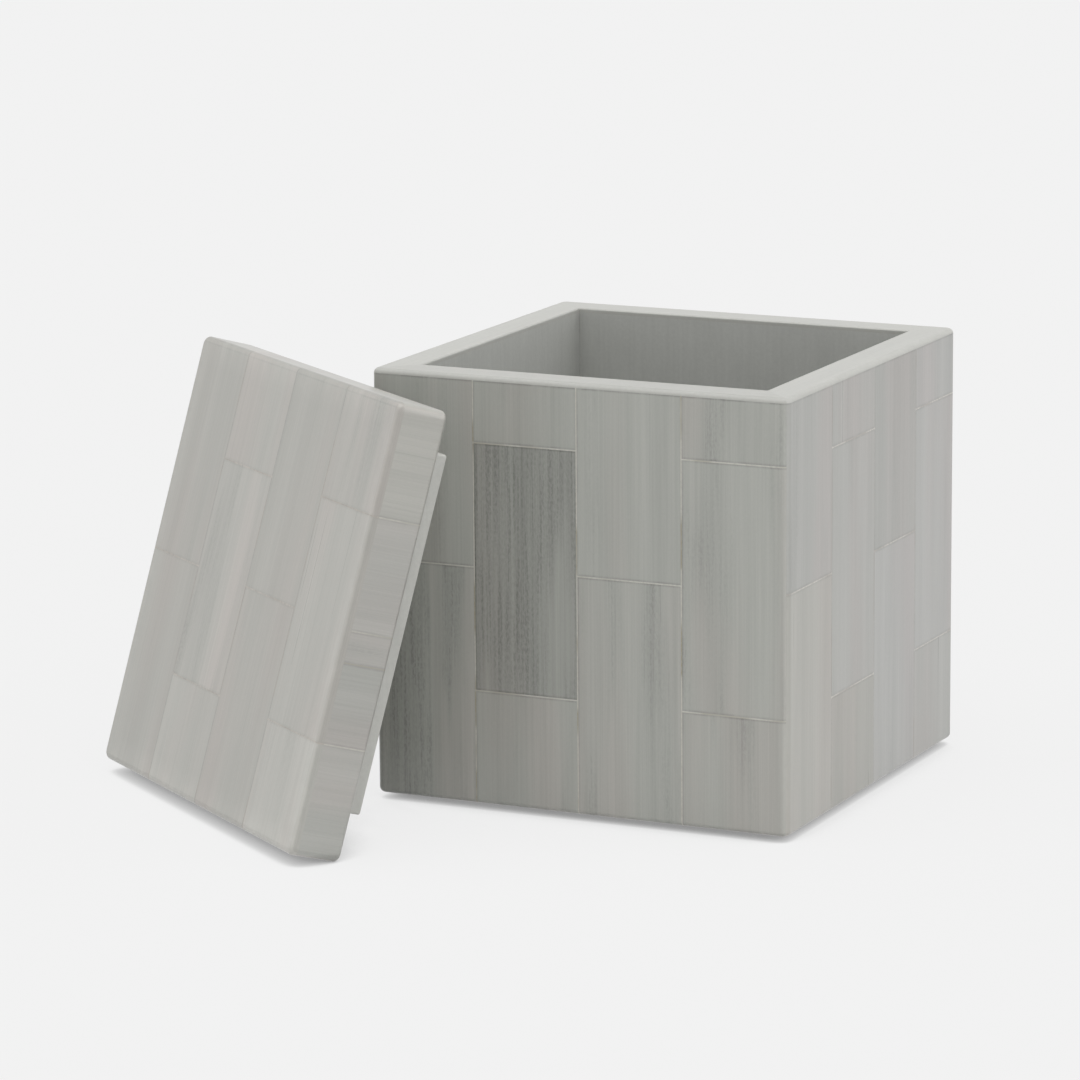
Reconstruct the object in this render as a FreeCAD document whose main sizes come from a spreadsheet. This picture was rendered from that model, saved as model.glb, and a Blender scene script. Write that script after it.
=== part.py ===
"""Square canister for cotton pads: a panel box clad in staggered tiles, its lift-off lid leaning on it.

Millimetres, +Z up. The origin is on the table under the centre of the box. The front of the box faces -Y.
The lid is built lying flat in a frame of its own, underside at z = 0, and then set down against the box.
"""

import FreeCAD
import Part
import os

from FreeCAD import Placement, Rotation, Vector

doc = FreeCAD.newDocument("canister")

# ---------------------------------------------------------------- driving dimensions
SIZES = [
    ("width", 114.3, "outside, left to right"),
    ("depth", 114.3, "outside, front to back"),
    ("body_height", 110.8, "underside of the box to the top of its rim"),
    ("wall", 9.6, "wall with its cladding"),
    ("cladding", 1.8, "tile thickness"),
    ("rim_cap", 1.2, "thickness of the strips on the rim"),
    ("base_thick", 8.0, "bottom panel"),
    ("rabbet", 4.0, "how far the bottom panel reaches into each wall"),
    ("corner_round", 2.3, "rounding of the upright edges, and of the lid's corners"),
    ("edge_round", 1.4, "rounding of the top and bottom edges, and of the lid's top edges"),
    ("rim_round", 0.5, "rounding of the mouth's edge"),
    ("foot_height", 1.6, "bumper foot"),
    ("foot_radius", 5.0, "bumper foot"),
    ("foot_taper", 0.7, "bevel of a bumper's lower edge"),
    ("foot_inset", 13.0, "outside of the box to the middle of a foot"),
    ("tile_pitch", 64.0, "height of a whole tile with its joint"),
    ("first_joint", 29.7, "underside of the box to the lowest cross joint"),
    ("joint_gap", 0.35, "width of a joint between tiles"),
    ("lid_thick", 14.0, "lid plate with its cladding"),
    ("lid_round", 1.4, "rounding of the lid's lower edges"),
    ("plug_thick", 8.4, "locating plug under the lid"),
    ("plug_play", 1.5, "plug to wall, each side, when the lid is on"),
    ("plug_round", 0.6, "rounding of the plug's edges"),
    ("lean_angle", 16.1, "degrees, lid from upright"),
    ("lean_turn", 53.5, "degrees, heading of the lean from +X"),
    ("lean_shift", 5.5, "middle of the lid to the corner it leans on"),
    ("lean_gap", 0.2, "plug edge to the box's corner"),
]

sheet = doc.addObject("Spreadsheet::Sheet", "Sizes")
for row, (alias, value, note) in enumerate(SIZES, start=1):
    sheet.set(f"A{row}", note)
    sheet.set(f"B{row}", str(value))
    sheet.setAlias(f"B{row}", alias)
doc.recompute()

# ---------------------------------------------------------------- derived sizes, as expressions
OVER = "2 mm"  # how far a cutting cell runs past the surface it cuts
FLOOR = "(Sizes.foot_height * 1 mm)"
RIM_TOP = f"({FLOOR} + Sizes.body_height * 1 mm)"
CLAD_TOP = f"({RIM_TOP} - Sizes.rim_cap * 1 mm)"
HALF_GAP = "(Sizes.joint_gap * 0.5 mm)"
SIDES = {"front": 0, "right": 90, "back": 180, "left": 270}
COLUMNS = 4


def mm(alias, factor=1):
    """One cell of the sheet as a length."""
    return f"(Sizes.{alias} * {factor} * 1 mm)"


def bind(obj, **sizes):
    for name, expression in sizes.items():
        obj.setExpression(name, expression)


def place(obj, x="0 mm", y="0 mm", z="0 mm"):
    for axis, expression in zip("xyz", (x, y, z)):
        obj.setExpression(f"Placement.Base.{axis}", expression)


def box(name, size, corner):
    """A box from the expressions of its three sizes and of its lowest corner."""
    obj = doc.addObject("Part::Box", name)
    bind(obj, Length=size[0], Width=size[1], Height=size[2])
    place(obj, *corner)
    return obj


def slab(name, inset, bottom, height):
    """A box centred on the Z axis, its sides the inset in from the outside of the box."""
    size = [f"{mm(a)} - 2 * {inset}" for a in ("width", "depth")]
    return box(name, (*size, height), (f"-({size[0]}) / 2", f"-({size[1]}) / 2", bottom))


def boolean(kind, name, base, tool):
    obj = doc.addObject(f"Part::{kind}", name)
    obj.Base = base
    obj.Tool = tool
    return obj


def compound(name, links):
    obj = doc.addObject("Part::Compound", name)
    obj.Links = links
    return obj


def turned(obj, side):
    """Turns what was built for the front so that it faces another side."""
    obj.Placement = Placement(Vector(), Rotation(Vector(0, 0, 1), SIDES[side]))
    return obj


def along(side):
    """The length of a side, and half the size that it lies across."""
    if side in ("front", "back"):
        return mm("width"), mm("depth", 0.5)
    return mm("depth"), mm("width", 0.5)


def mitred(name, side, reach, bottom, top):
    """A prism over one side, as deep as reach, whose ends run at 45 degrees through the vertical edges."""
    length, half = along(side)
    obj = doc.addObject("Part::Wedge", name)
    bind(
        obj,
        Xmin=f"-{length} / 2 - {OVER}", Xmax=f"{length} / 2 + {OVER}",
        Ymin=f"-{half} - {OVER}", Ymax=f"-{half} + {reach}",
        X2min=f"-{length} / 2 + {reach}", X2max=f"{length} / 2 - {reach}",
        Zmin=bottom, Zmax=top, Z2min=bottom, Z2max=top,
    )  # fmt: skip
    return turned(obj, side)


def edges(shape, test):
    """Names of the edges whose middle passes the test."""
    middles = [e.valueAt((e.FirstParameter + e.LastParameter) / 2) for e in shape.Edges]
    return [f"Edge{i}" for i, middle in enumerate(middles, start=1) if test(middle)]


def rounded(body, name, radius, test):
    """Rounds the edges of the body's last feature whose middle passes the test."""
    doc.recompute()
    last = body.Tip
    obj = body.newObject("PartDesign::Fillet", name)
    obj.Base = (last, edges(last.Shape, test))
    bind(obj, Radius=mm(radius))
    body.Tip = obj
    return obj


def block_body(name, size, corner):
    """A PartDesign body that starts as a box."""
    body = doc.addObject("PartDesign::Body", name)
    block = body.newObject("PartDesign::AdditiveBox", name + "_block")
    bind(block, Length=size[0], Width=size[1], Height=size[2])
    place(block, *corner)
    return body


# ---------------------------------------------------------------- tiles
def course_joints(column):
    """Heights of a column's cross joints above the underside: odd columns sit half a tile lower or higher."""
    if column % 2:
        return [mm("first_joint"), f"({mm('first_joint')} + {mm('tile_pitch')})"]
    return [f"({mm('first_joint')} + {mm('tile_pitch', 0.5)})"]


def column_span(column, length):
    """Left end and width of a column's tiles; the end tiles run on past the corner."""
    start = f"(-{length} / 2 + {length} * {column / COLUMNS} + {HALF_GAP})"
    width = f"({length} / {COLUMNS} - 2 * {HALF_GAP})"
    if column == 0:
        start = f"(-{length} / 2 - {OVER})"
    if column in (0, COLUMNS - 1):
        width = f"({length} / {COLUMNS} - {HALF_GAP} + {OVER})"
    return start, width


def stretches(low, high, joints):
    """The stretches between joints, from low to high, as (start, length) expressions."""
    starts = [low] + [f"({j} + {HALF_GAP})" for j in joints]
    ends = [f"({j} - {HALF_GAP})" for j in joints] + [high]
    return [(a, f"abs({b} - {a})") for a, b in zip(starts, ends)]


def export(obj, label):
    obj.Label = label
    NODES.append(obj)
    return obj


NODES = []

# ---------------------------------------------------------------- box: outer form with its well
well = [f"({mm(a)} - 2 * {mm('wall')})" for a in ("width", "depth")]
well_floor = f"({FLOOR} + {mm('base_thick')})"

carcass = block_body(
    "carcass",
    (mm("width"), mm("depth"), mm("body_height")),
    (f"-{mm('width')} / 2", f"-{mm('depth')} / 2", FLOOR),
)
carcass_middle = sheet.foot_height + sheet.body_height / 2
rounded(carcass, "carcass_corners", "corner_round", lambda p: abs(p.z - carcass_middle) < 0.01)
rounded(carcass, "carcass_edges", "edge_round", lambda p: abs(p.z - carcass_middle) > 0.01)
hollow = carcass.newObject("PartDesign::SubtractiveBox", "carcass_well")
bind(hollow, Length=well[0], Width=well[1], Height=mm("body_height"))
place(hollow, f"-{well[0]} / 2", f"-{well[1]} / 2", well_floor)
doc.recompute()
mouth_height = carcass.Shape.BoundBox.ZMax
mouth_half = sheet.width / 2 - sheet.wall + 0.01
mouth_depth = sheet.depth / 2 - sheet.wall + 0.01


def on_mouth(p):
    return p.z > mouth_height - 0.01 and abs(p.x) < mouth_half and abs(p.y) < mouth_depth


rounded(carcass, "carcass_mouth", "rim_round", on_mouth)

# ---------------------------------------------------------------- box: panels, rim and base
base = slab(
    "base_panel_block",
    f"({mm('wall')} - {mm('rabbet')})",
    FLOOR,
    mm("base_thick"),
)
export(base, "base_panel")

core_height = f"({CLAD_TOP} - {FLOOR})"
core = f"({mm('wall')} - {mm('cladding')})"
for side in SIDES:
    length, half = along(side)
    # The front and back panels run the full width; the side panels stand between them.
    short = mm("cladding") if side in ("front", "back") else mm("wall")
    panel = box(
        f"wall_{side}_panel",
        (f"{length} - 2 * {short}", core, core_height),
        (f"-{length} / 2 + {short}", f"-{half} + {mm('cladding')}", FLOOR),
    )
    turn = turned(compound(f"wall_{side}_turned", [panel]), side)
    export(boolean("Cut", f"wall_{side}_rabbeted", turn, base), f"wall_{side}")

    cap = mitred(f"rim_{side}_cell", side, f"({mm('wall')} + {OVER})", CLAD_TOP, f"{RIM_TOP} + {OVER}")
    export(boolean("Common", f"rim_{side}_strip", carcass, cap), f"rim_{side}")


# ---------------------------------------------------------------- box: tiles and the joints between them
def clad(side):
    """One side's tiles, a node to each column, and the filler that lies flush between them."""
    length, half = along(side)
    cell = mitred(f"{side}_cladding_cell", side, mm("cladding"), f"{FLOOR} - {OVER}", CLAD_TOP)
    skin = boolean("Common", f"{side}_cladding", carcass, cell)
    columns = []
    for column in range(COLUMNS):
        start, width = column_span(column, length)
        joints = [f"({FLOOR} + {j})" for j in course_joints(column)]
        tiles = [
            box(
                f"{side}_{column + 1}_tile_{number}",
                (width, f"{mm('cladding')} + 2 * {OVER}", rise),
                (start, f"-{half} - {OVER}", bottom),
            )
            for number, (bottom, rise) in enumerate(
                stretches(f"({FLOOR} - {OVER})", f"({RIM_TOP} + {mm('tile_pitch')})", joints), start=1
            )
        ]
        cells = turned(compound(f"{side}_{column + 1}_cells", tiles), side)
        columns.append(cells)
        strip = boolean("Common", f"{side}_{column + 1}_strip", skin, cells)
        export(strip, f"{side}_tiles_{column + 1}")
    filler = boolean("Cut", f"{side}_filler", skin, compound(f"{side}_cells", columns))
    export(filler, f"{side}_joint_filler")


for side in SIDES:
    clad(side)


# ---------------------------------------------------------------- box: feet
def foot(name, right, back):
    """A bumper under one corner; right and back are +1 or -1."""
    body = doc.addObject("PartDesign::Body", name)
    disc = body.newObject("PartDesign::AdditiveCylinder", name + "_disc")
    bind(disc, Radius=mm("foot_radius"), Height=mm("foot_height"))
    doc.recompute()
    taper = body.newObject("PartDesign::Chamfer", name + "_taper")
    taper.Base = (disc, edges(disc.Shape, lambda p: p.z < 0.01))
    bind(taper, Size=mm("foot_taper"))
    body.Tip = taper
    place(
        body,
        f"{right} * ({mm('width')} / 2 - {mm('foot_inset')})",
        f"{back} * ({mm('depth')} / 2 - {mm('foot_inset')})",
    )
    export(body, name)


for depth_name, back in (("front", -1), ("back", 1)):
    for width_name, right in (("left", -1), ("right", 1)):
        foot(f"foot_{depth_name}_{width_name}", right, back)

# ---------------------------------------------------------------- lid, lying flat in its own frame
LID_NODES = []
plate = block_body(
    "lid_plate",
    (mm("width"), mm("depth"), mm("lid_thick")),
    (f"-{mm('width')} / 2", f"-{mm('depth')} / 2", "0 mm"),
)
plate_middle = sheet.lid_thick / 2
rounded(plate, "lid_plate_corners", "corner_round", lambda p: abs(p.z - plate_middle) < 0.01)
rounded(plate, "lid_plate_top_edges", "edge_round", lambda p: p.z > plate_middle + 0.01)
rounded(plate, "lid_plate_lower_edges", "lid_round", lambda p: p.z < 0.01)
lid_clad = f"({mm('lid_thick')} - {mm('cladding')})"


def lid_export(obj, label):
    LID_NODES.append(export(obj, label))
    return obj


lid_core = slab("lid_core_block", mm("cladding"), "0 mm", lid_clad)
lid_export(compound("lid_core_panel", [lid_core]), "lid_core")


def lid_top():
    """Four columns of tiles over the whole top, joints staggered by half a tile, and their filler."""
    sheet_cell = slab("lid_top_cell", f"(-1 * {OVER})", lid_clad, f"{mm('cladding')} + {OVER}")
    skin = boolean("Common", "lid_top_skin", plate, sheet_cell)
    columns = []
    for column in range(COLUMNS):
        start, width = column_span(column, mm("width"))
        shares = (0.25, 0.75) if column % 2 else (0.5,)
        joints = [f"({mm('depth')} * {share - 0.5})" for share in shares]
        ends = [f"({sign}{mm('depth')} / 2 {sign} {OVER})" for sign in "-+"]
        tiles = [
            box(
                f"lid_{column + 1}_tile_{number}",
                (width, rise, f"{mm('cladding')} + {OVER}"),
                (start, low, lid_clad),
            )
            for number, (low, rise) in enumerate(stretches(*ends, joints), start=1)
        ]
        cells = compound(f"lid_{column + 1}_cells", tiles)
        columns.append(cells)
        strip = boolean("Common", f"lid_{column + 1}_strip", skin, cells)
        lid_export(strip, f"lid_top_tiles_{column + 1}")
    filler = boolean("Cut", "lid_top_filler", skin, compound("lid_cells", columns))
    lid_export(filler, "lid_top_joint_filler")


# Cross joints of the edge bands, as shares of each side's length from its left end.
EDGE_JOINTS = {
    "front": (0.25, 0.5, 0.75),
    "right": (0.25, 0.43, 0.5, 0.75),
    "back": (0.25, 0.5, 0.75),
    "left": (0.5,),
}


def lid_edge(side):
    """The band of tiles on one edge of the plate, under the top tiles; returns the filler between them."""
    length, half = along(side)
    cell = mitred(f"lid_{side}_cell", side, mm("cladding"), f"-1 * {OVER}", lid_clad)
    skin = boolean("Common", f"lid_{side}_skin", plate, cell)
    joints = [f"({length} * {share - 0.5})" for share in EDGE_JOINTS[side]]
    ends = [f"({sign}{length} / 2 {sign} {OVER})" for sign in "-+"]
    tiles = [
        box(
            f"lid_{side}_tile_{number}",
            (run, f"{mm('cladding')} + 2 * {OVER}", f"{mm('lid_thick')} + 2 * {OVER}"),
            (start, f"-{half} - {OVER}", f"-1 * {OVER}"),
        )
        for number, (start, run) in enumerate(stretches(*ends, joints), start=1)
    ]
    cells = turned(compound(f"lid_{side}_cells", tiles), side)
    lid_export(boolean("Common", f"lid_{side}_band", skin, cells), f"lid_edge_{side}")
    return boolean("Cut", f"lid_{side}_filler", skin, cells)


lid_top()
fillers = [lid_edge(side) for side in EDGE_JOINTS]
lid_export(compound("lid_edge_filler", fillers), "lid_edge_joint_filler")

plug_size = [f"({side} - 2 * {mm('plug_play')})" for side in well]
plug = block_body(
    "plug",
    (*plug_size, mm("plug_thick")),
    (f"-{plug_size[0]} / 2", f"-{plug_size[1]} / 2", f"-{mm('plug_thick')}"),
)
rounded(plug, "plug_edges", "plug_round", lambda p: p.z < -0.01)
lid_export(plug, "lid_plug")

# ---------------------------------------------------------------- lid, set down against the box
# Its underside's lower edge stands on the table and its plug's upper edge leans on the front left corner.
# "lean" is the way the lid leans, "side" the horizontal way along its foot.
TURN, TILT = "(Sizes.lean_turn * 1 deg)", "(Sizes.lean_angle * 1 deg)"
lean_x, lean_y = f"cos({TURN})", f"sin({TURN})"
corner_centre = [f"(-{mm(a)} / 2 + {mm('corner_round')})" for a in ("width", "depth")]
corner_face = f"({corner_centre[0]} * {lean_x} + {corner_centre[1]} * {lean_y} - {mm('corner_round')})"
plug_edge = [f"({size} - {mm('plug_round')})" for size in (f"{plug_size[1]} / 2", mm("plug_thick"))]
plug_reach = f"({plug_edge[0]} * sin({TILT}) + {plug_edge[1]} * cos({TILT}) + {mm('plug_round')})"
along_lean = f"({corner_face} - {mm('lean_gap')} - {plug_reach})"
along_side = f"(-{mm('width')} / 2 * {lean_y} + {mm('depth')} / 2 * {lean_x} - {mm('lean_shift')})"
edge_drop = f"({mm('depth')} / 2 - {mm('lid_round')})"
foot_rise = f"({mm('lid_round')} * (1 - sin({TILT})) + {edge_drop} * cos({TILT}))"

for obj in LID_NODES:
    place(
        obj,
        f"{along_lean} * {lean_x} + {along_side} * {lean_y}",
        f"{along_lean} * {lean_y} - {along_side} * {lean_x}",
        foot_rise,
    )
    bind(
        obj,
        **{
            "Placement.Rotation.Yaw": f"{TURN} - 90 deg",
            "Placement.Rotation.Roll": f"90 deg - {TILT}",
        },
    )

# ---------------------------------------------------------------- check and export
doc.recompute()
for obj in doc.Objects:
    if "Invalid" in obj.State or "Error" in obj.State:
        raise RuntimeError(f"{obj.Name} did not compute: {obj.State}")

os.makedirs("parts", exist_ok=True)
for obj in NODES:
    if obj.Shape.isNull() or not obj.Shape.isValid() or not obj.Shape.Solids:
        raise RuntimeError(f"{obj.Label} has no valid solid")
    obj.Shape.exportStep(f"parts/{obj.Label}.step")
print(len(NODES), "nodes")
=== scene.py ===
# %% [markdown]
# # A square canister for cotton pads, with its lid leaning on it
# The canister is a painted panel box clad in grey tiles, and its lid lifts off.
# Every solid comes in finished from the CAD model: the cell below loads them, each
# in its real place, in metres. What is left for Blender is the finish of each
# surface, the light and the view. The solids could be modelled again here, but then
# two sets of sizes would have to agree, so they are only given materials.

# %% Load the solids
import math

import bpy
from mathutils import Euler, Matrix, Vector


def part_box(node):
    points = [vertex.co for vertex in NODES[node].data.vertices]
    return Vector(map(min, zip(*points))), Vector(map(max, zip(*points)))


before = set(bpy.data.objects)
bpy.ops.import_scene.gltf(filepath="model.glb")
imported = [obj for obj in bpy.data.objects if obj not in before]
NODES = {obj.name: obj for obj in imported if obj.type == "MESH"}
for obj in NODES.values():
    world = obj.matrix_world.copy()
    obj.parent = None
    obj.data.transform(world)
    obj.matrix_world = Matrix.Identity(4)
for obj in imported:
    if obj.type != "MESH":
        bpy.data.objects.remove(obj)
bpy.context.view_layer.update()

MM = 0.001


def in_mm(values, digits=1):
    """Metres as rounded millimetres, for printing."""
    return [round(value / MM, digits) for value in values]


# %% [markdown]
# ## The view
# A small product is best looked at from a long way off with a long lens, so that its
# upright edges stay upright. The camera is placed like a studio camera on its tripod:
# a point to aim at, how far back, how far round and how far up, with a trace of roll.
# Such numbers are easier to adjust than a typed rotation, because each moves one thing.

# %% The camera
AIM, DISTANCE = Vector((-0.03562, -0.00349, 0.0593)), 1.3847  # metres
TURN, DOWN, TILT = math.radians(25.41), math.radians(11.875), math.radians(-0.471)
LENS_MM, SENSOR_MM = 175.99, 36.0
NEAREST, FARTHEST = 0.05, 50.0  # metres


def way_out(turn, rise):
    """A direction away from the box: turn goes from the front towards the right, rise upwards."""
    level = math.cos(rise)
    return Vector((math.sin(turn) * level, -math.cos(turn) * level, math.sin(rise)))


bpy.ops.object.camera_add()
camera = bpy.context.object
camera.name = "studio_camera"
camera.data.sensor_width, camera.data.lens = SENSOR_MM, LENS_MM
camera.data.clip_start, camera.data.clip_end = NEAREST, FARTHEST
turned = (
    Matrix.Rotation(TURN, 4, "Z")
    @ Matrix.Rotation(math.pi / 2 - DOWN, 4, "X")
    @ Matrix.Rotation(TILT, 4, "Z")
)
camera.matrix_world = Matrix.Translation(AIM + way_out(TURN, DOWN) * DISTANCE) @ turned
bpy.context.scene.camera = camera
bpy.context.scene.view_settings.view_transform = "Standard"
print("camera at, mm:", in_mm(camera.location, 0))

# %% [markdown]
# ## The light
# The box stands in a white studio: a large soft light on each side, a weak one near the
# camera, one overhead, and a little light from everywhere. Sun lamps with a wide angle
# do this well. A sun lights every part of the floor alike, and its angle is the apparent
# size of the softbox, so a wide one gives soft shadows. Area lamps would also work, but
# their light falls off over the floor. A sun of strength pi shows a colour that faces
# it as it is written, so strengths are given as shares of pi.

# %% Lamps
SOFTBOX_WIDTH = math.radians(60)
SOFTBOXES = {  # degrees round from the front, degrees up, share of full strength
    "softbox_left": (-75, 15, 0.18),
    "softbox_front": (25, 10, 0.12),
    "softbox_right": (110, 15, 0.36),
    "softbox_top": (0, 80, 0.62),
}


def add_softbox(name, turn, rise, share):
    """A wide sun lamp that shines at the box. turn and rise are in degrees."""
    bpy.ops.object.select_all(action="DESELECT")
    bpy.ops.object.light_add(type="SUN")
    lamp = bpy.context.object
    lamp.name = name
    lamp.location = way_out(math.radians(turn), math.radians(rise))
    lamp.rotation_euler = lamp.location.to_track_quat("Z", "Y").to_euler()
    lamp.data.energy = share * math.pi
    lamp.data.angle = SOFTBOX_WIDTH
    print(name, "strength", round(lamp.data.energy, 2))


for name, (turn, rise, share) in SOFTBOXES.items():
    add_softbox(name, turn, rise, share)

# %% [markdown]
# ## Small tools for node trees
# A material is a tree of nodes. Placed by hand in the shader editor, each node and each
# link is a few clicks. In code the same few lines come back again and again, so they
# become short functions that place a node, feed it and give back its result. A value
# that is fed in can be a number or another node's socket.

# %% Sums and mixes
def feed(tree, socket, value):
    """Links value into the socket when it is a socket, and writes it there when it is not."""
    if isinstance(value, bpy.types.NodeSocket):
        tree.links.new(value, socket)
    else:
        socket.default_value = value


def calc(tree, operation, *values, clamp=False):
    """A Math node on numbers or sockets."""
    node = tree.nodes.new("ShaderNodeMath")
    node.operation, node.use_clamp = operation, clamp
    for socket, value in zip(node.inputs, values):
        feed(tree, socket, value)
    return node.outputs[0]


def strongest(tree, mask, *others):
    """The largest of several masks at each spot."""
    for other in others:
        mask = calc(tree, "MAXIMUM", mask, other)
    return mask


def either_shader(tree, factor, first, second):
    """A Mix Shader: the first shader where factor is 0, the second where it is 1."""
    node = tree.nodes.new("ShaderNodeMixShader")
    feed(tree, node.inputs["Fac"], factor)
    tree.links.new(first.outputs[0], node.inputs[1])
    tree.links.new(second.outputs[0], node.inputs[2])
    return node


def coloured(tree, kind, colour):
    """A simple shader node of one kind with one colour."""
    node = tree.nodes.new(kind)
    node.inputs["Color"].default_value = colour
    return node


def grey(level):
    """A neutral colour in a shader's own numbers, from 0 for black to 1 for white."""
    return (level, level, level, 1)


print("a middle grey:", grey(0.18))

# %% [markdown]
# The world gives the light that comes from everywhere. What a camera sees there, or a
# shiny surface mirrors, is the pale backdrop, and that is a separate matter from how
# much light it gives. Light Path tells the two apart.

# %% World
FILL = 0.36
BACKDROP = 0.885


def seen_or_mirrored(tree):
    """A factor that is 1 for camera, mirror and see-through rays, and 0 for light."""
    ray = tree.nodes.new("ShaderNodeLightPath").outputs
    return strongest(tree, ray["Is Camera Ray"], ray["Is Glossy Ray"], ray["Is Transmission Ray"])


world = bpy.data.worlds.new("white_studio")
world.use_nodes = True
bpy.context.scene.world = world
sky = world.node_tree
sky.nodes.clear()
fill = coloured(sky, "ShaderNodeBackground", grey(1))
fill.inputs["Strength"].default_value = FILL
backdrop = coloured(sky, "ShaderNodeBackground", grey(BACKDROP))
either = either_shader(sky, seen_or_mirrored(sky), fill, backdrop)
world_out = sky.nodes.new("ShaderNodeOutputWorld")
sky.links.new(either.outputs[0], world_out.inputs["Surface"])
print("world fill", FILL, "backdrop", BACKDROP)

# %% [markdown]
# ## The floor
# A white sheet under the box, with only a short shadow right where things touch it. A
# lit white plane would carry the long soft shadows of all the lamps as well. So what the
# camera sees is mostly the plain backdrop colour, darkened close under the edges by
# Ambient Occlusion, with a share of real lit paper so that the true shadow stays. A
# shiny surface mirrors the plain colour, and for the light that bounces up on the box
# the floor is ordinary white paper.

# %% The floor's shape
FLOOR_RADIUS, OUTER_RING = 6.0, 5.0  # metres
bpy.ops.object.select_all(action="DESELECT")
bpy.ops.mesh.primitive_circle_add(vertices=96, radius=FLOOR_RADIUS, fill_type="NGON")
floor = bpy.context.object
floor.name = "studio_floor"
bpy.ops.object.mode_set(mode="EDIT")
bpy.ops.mesh.inset(thickness=OUTER_RING)
bpy.ops.object.mode_set(mode="OBJECT")
print("floor faces", len(floor.data.polygons))

# %% [markdown]
# The shadow's brightness follows how open the sky is above each spot of the paper: dark
# right under an edge, and back to the backdrop where a bit more than half is open. The
# stops of the ramp say it in that order, as openness and brightness.

# %% The paper, as the camera sees it
SHADOW = (
    (0.04, 0.28), (0.12, 0.46), (0.22, 0.55), (0.34, 0.63), (0.46, 0.74), (0.53, 0.83),
    (0.58, BACKDROP),
)
SHADOW_REACH, SHADOW_SAMPLES = 30 * MM, 16

paper = bpy.data.materials.new("white_paper")
paper.use_nodes = True
tree = paper.node_tree
tree.nodes.clear()
near = tree.nodes.new("ShaderNodeAmbientOcclusion")
near.samples = SHADOW_SAMPLES
near.inputs["Distance"].default_value = SHADOW_REACH
shadow = tree.nodes.new("ShaderNodeValToRGB")
stops = shadow.color_ramp.elements
while len(stops) < len(SHADOW):
    stops.new(0.5)
for stop, (openness, bright) in zip(stops, SHADOW):
    stop.position, stop.color = openness, grey(bright)
shaded = tree.nodes.new("ShaderNodeEmission")
tree.links.new(near.outputs["AO"], shadow.inputs["Fac"])
tree.links.new(shadow.outputs["Color"], shaded.inputs["Color"])
print("shadow stops:", len(stops))

# %% [markdown]
# The lamps together light the floor a little past full strength. Divided by that level,
# lit paper comes out as bright as the backdrop, so that mixing it in leaves no seam.

# %% The paper, for each kind of ray
LAMP_LEVEL = 1.13
LIT_SHARE = 0.08
PAPER_WHITE = 0.8

bounce = coloured(tree, "ShaderNodeBsdfDiffuse", grey(PAPER_WHITE))
lit = coloured(tree, "ShaderNodeBsdfDiffuse", grey(BACKDROP / LAMP_LEVEL))
plain = coloured(tree, "ShaderNodeEmission", grey(BACKDROP))
by_camera = tree.nodes.new("ShaderNodeLightPath").outputs["Is Camera Ray"]
seen = either_shader(tree, by_camera, plain, either_shader(tree, LIT_SHARE, shaded, lit))
both = either_shader(tree, seen_or_mirrored(tree), bounce, seen)
out = tree.nodes.new("ShaderNodeOutputMaterial")
tree.links.new(both.outputs[0], out.inputs["Surface"])
floor.data.materials.append(paper)
print("share of lit paper", LIT_SHARE)

# %% [markdown]
# ## The tiles
# The cladding is horn, or resin that copies it: pale grey plates with fine streaks
# along the grain, soft wide bands that drift between a warm and a greenish grey, and
# in the darker plates patches of short broken fibres, all under clear lacquer. A flat
# grey would look like painted board. The grain is made from noise textures stretched
# along one direction: the finer the noise is across and the longer along, the more it
# looks like a fibre. Every tile needs this, so it becomes a node group, built once.

# %% Steps, colours and noise
COLOUR_A, COLOUR_B, COLOUR_RESULT = 6, 7, 2  # where the Mix node keeps its colour sockets
OFFSET_PARTS = (1.0, 0.7, 1.3)


def ease(tree, value, low, high, start=0.0, end=1.0):
    """A smooth step: start up to low, end from high on."""
    node = tree.nodes.new("ShaderNodeMapRange")
    node.interpolation_type = "SMOOTHSTEP"
    labels = ("Value", "From Min", "From Max", "To Min", "To Max")
    for label, number in zip(labels, (value, low, high, start, end)):
        feed(tree, node.inputs[label], number)
    return node.outputs["Result"]


def blend_colours(tree, factor, first, second, how="MIX"):
    """A Mix node for colours."""
    node = tree.nodes.new("ShaderNodeMix")
    node.data_type, node.blend_type = "RGBA", how
    feed(tree, node.inputs["Factor"], factor)
    feed(tree, node.inputs[COLOUR_A], first)
    feed(tree, node.inputs[COLOUR_B], second)
    return node.outputs[COLOUR_RESULT]


def stretched_noise(tree, vector, across, along, detail=2.0, rough=0.5, offset=0.0):
    """Noise in spots about across wide and along long, in mm. The grain runs along Z.
    Another offset gives another piece of the same noise."""
    size = tree.nodes.new("ShaderNodeMapping")
    size.inputs["Location"].default_value = [offset * part for part in OFFSET_PARTS]
    size.inputs["Scale"].default_value = [1 / (mm * MM) for mm in (across, across, along)]
    noise = tree.nodes.new("ShaderNodeTexNoise")
    noise.inputs["Scale"].default_value = 1.0
    noise.inputs["Detail"].default_value = detail
    noise.inputs["Roughness"].default_value = rough
    tree.links.new(vector, size.inputs["Vector"])
    tree.links.new(size.outputs["Vector"], noise.inputs["Vector"])
    return noise.outputs["Fac"]


def swing(tree, level, waves):
    """Moves level up and down with waves, given as (noise, full height) pairs."""
    for wave, height in waves:
        level = calc(tree, "MULTIPLY_ADD", wave, height, calc(tree, "SUBTRACT", level, height / 2))
    return level


def scaled_colour(tree, colour, level):
    """A colour made lighter or darker by level."""
    node = tree.nodes.new("ShaderNodeVectorMath")
    node.operation = "SCALE"
    feed(tree, node.inputs[0], colour)
    feed(tree, node.inputs["Scale"], level)
    return node.outputs[0]


print("noise helpers ready")

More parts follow.
